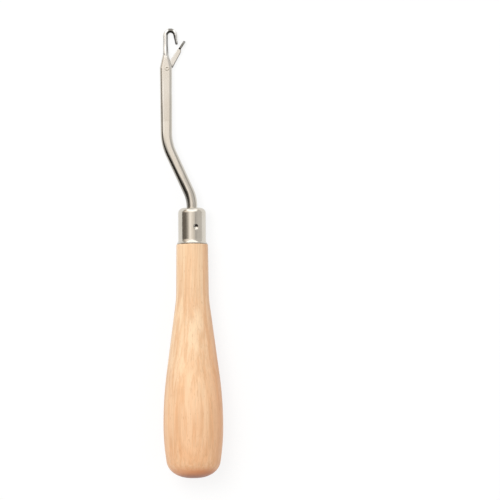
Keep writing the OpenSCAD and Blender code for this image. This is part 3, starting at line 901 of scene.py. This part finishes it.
def makeLatch():
    # A rectangle carried along the latch: a thin plate with a round eye and a straight neck,
    # which turns into a wide, thin spoon, hollowed by a ball that is moved along it.
    s = latchSizes
    eye, spoonY, half = s["eye"], s["spoonFrom"], s["spoonHalf"]
    end = spoonY + s["spoonLength"]
    eyeTurn = np.radians(np.linspace(-86, 0, 26))
    back = eye * np.sin(eyeTurn)
    neckY = np.linspace(0, spoonY - 0.4, 60)[1:]
    cupY = np.linspace(spoonY - 0.4, end - half, 40)[1:]
    endY = end - half + half * np.sin(np.radians(np.linspace(0, 86, 22)))[1:]
    y = np.concatenate([back, neckY, cupY, endY])
    circle = np.sqrt(np.maximum(eye ** 2 - y ** 2, 0))
    innerKnots = [0, eye, spoonY - 0.1, spoonY + 0.15]
    inner = np.interp(y, innerKnots, [s["inner"], s["inner"], 0.55, s["spoonHalfThickness"]])
    low = np.where(y < 0, circle, np.maximum(circle, inner))
    outerKnots = [-0.496, eye, spoonY - s["spoonLap"], spoonY - 0.05, spoonY + 0.2]
    outer = np.interp(y, outerKnots, [1.363, s["heel"], s["throat"], 0.72, s["spoonHalfThickness"]])
    high = np.where(y < -0.496, circle, np.maximum(circle * (y < 1), outer))
    climb = s["halfThickness"] + np.maximum(y - spoonY, 0) * 1.7
    over = np.clip(0.5 + 0.5 * (half - climb) / 0.2, 0, 1)
    spoonRise = half * (1 - over) + climb * over - 0.2 * over * (1 - over)
    tipFall = half * np.sqrt(np.clip(1 - ((y - end + half) / half) ** 2, 0, 1))
    spoonWide = np.where(y > end - half, tipFall, spoonRise)
    halfZ = np.where(y > end - half, spoonWide, np.maximum(s["halfThickness"], spoonWide))
    core, out = rectangleRing(20, 6, 3)
    cornerX = np.minimum(0.09, (low + high) / 3)[:, None]
    cornerZ = np.minimum(0.09, halfZ / 3)[:, None]
    middle, halfX = ((high - low) / 2)[:, None], ((high + low) / 2)[:, None]
    x = middle + core[:, 0] * (halfX - cornerX) + out[:, 0] * cornerX
    z = core[:, 1] * (halfZ[:, None] - cornerZ) + out[:, 1] * cornerZ
    yGrid = np.broadcast_to(y[:, None], x.shape)
    # The hollow: how deep the moved ball reaches under the spoon's face that meets the beard.
    lip = math.sqrt(s["hollow"] ** 2 - (s["hollow"] - s["hollowDepth"]) ** 2)
    fromY, toY = spoonY + s["rootLength"] + lip, end - half
    beyond = np.maximum(np.maximum(fromY - yGrid, yGrid - toY), 0)
    depth = np.sqrt(np.maximum(s["hollow"] ** 2 - z ** 2 - beyond ** 2, 0)) - s["hollow"] + s["hollowDepth"]
    depth = np.where(depth > 0, depth, 0) * (out[:, 0] < -0.5)
    x = x + depth
    turned = s["turn"]
    toolX = rivetSizes["x"] + x * math.cos(turned) + yGrid * math.sin(turned)
    toolY = rivetSizes["y"] - x * math.sin(turned) + yGrid * math.cos(turned)
    grid = np.stack([toolX, toolY, z], axis=-1)
    startPole = grid[0].mean(axis=0)
    endPole = grid[-1].mean(axis=0)
    latch = makePiece("latch", grid, startPole, endPole, sharpAngle=50)
    turns = np.linspace(0, 2 * math.pi, 40, endpoint=False)
    hole = np.stack([
        rivetSizes["x"] + s["hole"] * np.cos(turns)[None, :] * np.ones((4, 1)),
        rivetSizes["y"] + s["hole"] * np.sin(turns)[None, :] * np.ones((4, 1)),
        np.array([-0.8, -0.25, 0.25, 0.8])[:, None] * np.ones((1, 40)),
    ], axis=-1)
    poles = [(rivetSizes["x"], rivetSizes["y"], z0) for z0 in (-0.8, 0.8)]
    cutAway(latch, makePiece("latchHole", hole, *poles))
    px, py, pz = toolPoints(latch.data).T
    dx, dy = px - rivetSizes["x"], py - rivetSizes["y"]
    own = dx * math.sin(turned) + dy * math.cos(turned)
    # Painted shade: the spoon is painted dark, as a dark reflection, the heel darker towards the eye, and a thin dark
    # line runs along the outer edge.
    spoonShade = smoothStep(spoonY - 0.1, spoonY + 1.0, own) * 0.76
    heelShade = 1 - smoothStep(1.4, 2.7, own)
    fromEdge = dx * math.cos(turned) - dy * math.sin(turned) - np.interp(own, y, high)
    edgeShade = smoothStep(-0.32, -0.08, fromEdge) * (own > 1.4) * (own < spoonY)
    setAttribute(latch, "shade", np.clip(spoonShade + heelShade * 0.5 + edgeShade * 0.6, 0, 1))
    latch.data.materials.clear()
    latch.data.materials.append(plated("latch steel", "latch", 0.24, (0.3, 5.0, 0.3), shadeColour="paintedDarkTone"))
    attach(latch, "latch_body")
    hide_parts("latch")
    print("latch cut and hung")


# The table, the studio and the camera

studio = {
    "tableHalf": 1.5,
    "tableFloat": -0.00002,
    "worldLevel": 0.66,
    "lampPower": 4.6,
    "lampAt": (-0.26, 0.22, 0.87),
    "lampSize": 0.5,
    "tentRadius": 0.9,
}

# What the metal mirrors, by the angle round the tool from overhead towards X, and the
# brightness there: a dark flag on one side, a soft box overhead, a grey card on the other.
mirrored = {
    "angles": [-104, -100, -76, -66, -56, -47, -38, -29, -22, -14, -4, 4, 13, 20, 25, 30, 38, 48, 60, 92, 102],
    "levels": [0.50, 0.20, 0.20, 0.19, 0.16, 0.27, 0.45, 0.75, 1.22, 1.40, 1.20, 1.06, 0.98, 0.90, 0.72,
               0.58, 0.64, 0.74, 0.76, 0.74, 0.85],
    "highLevels": [0.50, 0.30, 0.50, 0.70, 0.95, 1.15, 1.20, 1.23, 1.29, 1.30, 1.16, 1.03, 0.89, 0.80, 0.73,
                   0.72, 0.71, 0.71, 0.71, 0.70, 0.85],
    "warmth": [0.98, 0.86, 0.79, 0.78, 0.81, 0.84, 0.865, 0.89, 0.92, 0.92, 0.89, 0.88, 0.885, 0.91, 0.935,
               0.94, 0.945, 0.95, 0.955, 0.97, 1.0],
    "highFrom": 10,
    "highFull": 14,
    "topFrom": 13,
    "topSpread": 46,
    "topRise": 9,
    "topLevel": 1.75,
    "farFrom": 64,
    "farFull": 86,
    "farLevel": 0.45,
    "darkFrom": 7,
    "darkFull": -4,
    "darkLevel": 0.045,
}


def makeTent():
    # A half ball of reflectors that only mirror reflections see. Its brightness is worked
    # out from the direction: a is the angle round the tool's length and b the tilt towards
    # the hook. Towards the hook it is white, and towards the handle's end it is dark.
    m = mirrored
    a = np.linspace(-104, 104, 209)
    b = np.linspace(-88, 88, 177)
    aa, bb = np.meshgrid(np.radians(a), np.radians(b), indexing="ij")
    points = studio["tentRadius"] * np.stack([
        np.sin(aa) * np.cos(bb), np.sin(bb), np.cos(aa) * np.cos(bb)
    ], axis=-1)
    high = smoothStep(m["highFrom"], m["highFull"], np.degrees(bb))
    level = np.interp(a, m["angles"], m["levels"])[:, None] * (1 - high)
    level += np.interp(a, m["angles"], m["highLevels"])[:, None] * high
    warmth = np.interp(a, m["angles"], m["warmth"])[:, None] * np.ones_like(bb)
    whiteFrom = m["topFrom"] + m["topSpread"] * (np.abs(np.degrees(aa)) / 85) ** 1.3
    white = smoothStep(whiteFrom, whiteFrom + m["topRise"], np.degrees(bb))
    dark = smoothStep(-m["darkFrom"], -m["darkFull"], -np.degrees(bb)) * (1 - smoothStep(60, 100, np.degrees(aa)))
    far = smoothStep(m["farFrom"], m["farFull"], np.degrees(bb))
    level = level * (1 - white) + (m["topLevel"] * (1 - far) + m["farLevel"] * far) * white
    level = level * (1 - dark) + m["darkLevel"] * dark
    warmth = warmth * (1 - white) + white
    colour = np.stack([level, level * (warmth * 0.5 + 0.5), level * warmth, np.ones_like(level)], axis=-1)
    rows, cols = aa.shape
    index = np.arange(rows * cols).reshape(rows, cols)
    quads = np.stack([index[:-1, :-1], index[1:, :-1], index[1:, 1:], index[:-1, 1:]], axis=-1).reshape(-1, 4)
    mesh = bpy.data.meshes.new("reflectors")
    mesh.from_pydata(points.reshape(-1, 3).tolist(), [], quads.tolist())
    attribute = mesh.attributes.new("brightness", "FLOAT_COLOR", "POINT")
    attribute.data.foreach_set("color", colour.reshape(-1).astype(np.float32))
    paint = Paint(bpy.data.materials.new("reflectors"))
    shown = paint.node("Attribute", {"attribute_name": "brightness"}, output="Color")
    mesh.materials.append(paint.finish(paint.node("Emission", None, {"Color": shown, "Strength": 1.0})))
    tent = bpy.data.objects.new("reflectors", mesh)
    bpy.context.scene.collection.objects.link(tent)
    tent.visible_camera = False
    tent.visible_diffuse = False
    tent.visible_transmission = False
    tent.visible_shadow = False
    print("reflectors hung")


def makeTable():
    # A white table. The eye and mirrors see most of its white as the plain background, and
    # the rest as lit surface, so that the tool's shadow stays on it.
    half = studio["tableHalf"]
    corners = [(-half, -half, 0), (half, -half, 0), (half, half, 0), (-half, half, 0)]
    mesh = bpy.data.meshes.new("table")
    mesh.from_pydata([(x, y, studio["tableFloat"]) for x, y, z in corners], [], [(0, 1, 2, 3)])
    paint = Paint(bpy.data.materials.new("table white"))
    rays = paint.node("LightPath", output="Is Camera Ray").socket.node
    seen = Wire(paint, rays.outputs["Is Camera Ray"])
    mirror = Wire(paint, rays.outputs["Is Glossy Ray"])
    through = Wire(paint, rays.outputs["Is Transmission Ray"])
    anyWay = paint.maths("MAXIMUM", paint.maths("MAXIMUM", seen, mirror), through)
    lit = paint.node("BsdfDiffuse", None, {"Color": (0.8, 0.8, 0.8, 1)})
    plain = paint.node("Emission", None, {"Color": (1, 1, 1, 1), "Strength": 1.0})
    partLit = paint.node("BsdfDiffuse", None, {"Color": (1, 1, 1, 1)})
    shown = paint.node("MixShader", None, {0: 0.82, 1: partLit, 2: plain})
    mesh.materials.append(paint.finish(paint.node("MixShader", None, {0: anyWay, 1: lit, 2: shown})))
    table = bpy.data.objects.new("table", mesh)
    bpy.context.scene.collection.objects.link(table)


def makeWorld():
    # White to the eye and in mirrors, and a little lower as the light that fills the shade.
    scene = bpy.context.scene
    world = bpy.data.worlds.new("studio white")
    scene.world = world
    paint = Paint(world)
    rays = paint.node("LightPath", output="Is Camera Ray").socket.node
    seen = Wire(paint, rays.outputs["Is Camera Ray"])
    mirror = Wire(paint, rays.outputs["Is Glossy Ray"])
    through = Wire(paint, rays.outputs["Is Transmission Ray"])
    anyWay = paint.maths("MAXIMUM", paint.maths("MAXIMUM", seen, mirror), through)
    strength = anyWay * (1 - studio["worldLevel"]) + studio["worldLevel"]
    paint.finish(paint.node("Background", None, {"Color": (1, 1, 1, 1), "Strength": strength}), "OutputWorld")


def makeLamp():
    lamp = bpy.data.lights.new("soft lamp", "AREA")
    lamp.shape = "SQUARE"
    lamp.size = studio["lampSize"]
    lamp.energy = studio["lampPower"]
    lamp.color = (1.0, 0.985, 0.96)
    holder = bpy.data.objects.new("soft lamp", lamp)
    holder.location = studio["lampAt"]
    x, y, z = studio["lampAt"]
    holder.rotation_euler = (math.atan2(math.hypot(x, y), z), 0, math.atan2(y, x) + math.pi / 2)
    holder.visible_glossy = False
    bpy.context.scene.collection.objects.link(holder)


# The photograph looks straight down through a long lens, and is 500 pixels square.
view = {
    "centre": (0.02143, 0.00107),
    "height": 8.0,
    "subjectHeight": 0.008,
    "width": 0.18324,
    "roll": math.radians(-0.385),
}


def makeCamera():
    data = bpy.data.cameras.new("camera")
    data.sensor_width = 36
    data.sensor_height = 36
    data.sensor_fit = "HORIZONTAL"
    data.lens = 36 * (view["height"] - view["subjectHeight"]) / view["width"]
    data.clip_end = 20
    camera = bpy.data.objects.new("camera", data)
    camera.location = (*view["centre"], view["height"])
    camera.rotation_euler = (0, 0, view["roll"])
    bpy.context.scene.collection.objects.link(camera)
    bpy.context.scene.camera = camera


bpy.context.scene.view_settings.view_transform = "Standard"
makeCamera()
makeWorld()
makeTable()
makeLamp()
makeTent()
makeHandle()
makeFerrule()
makeShank()
makeLatch()
makeRivet()
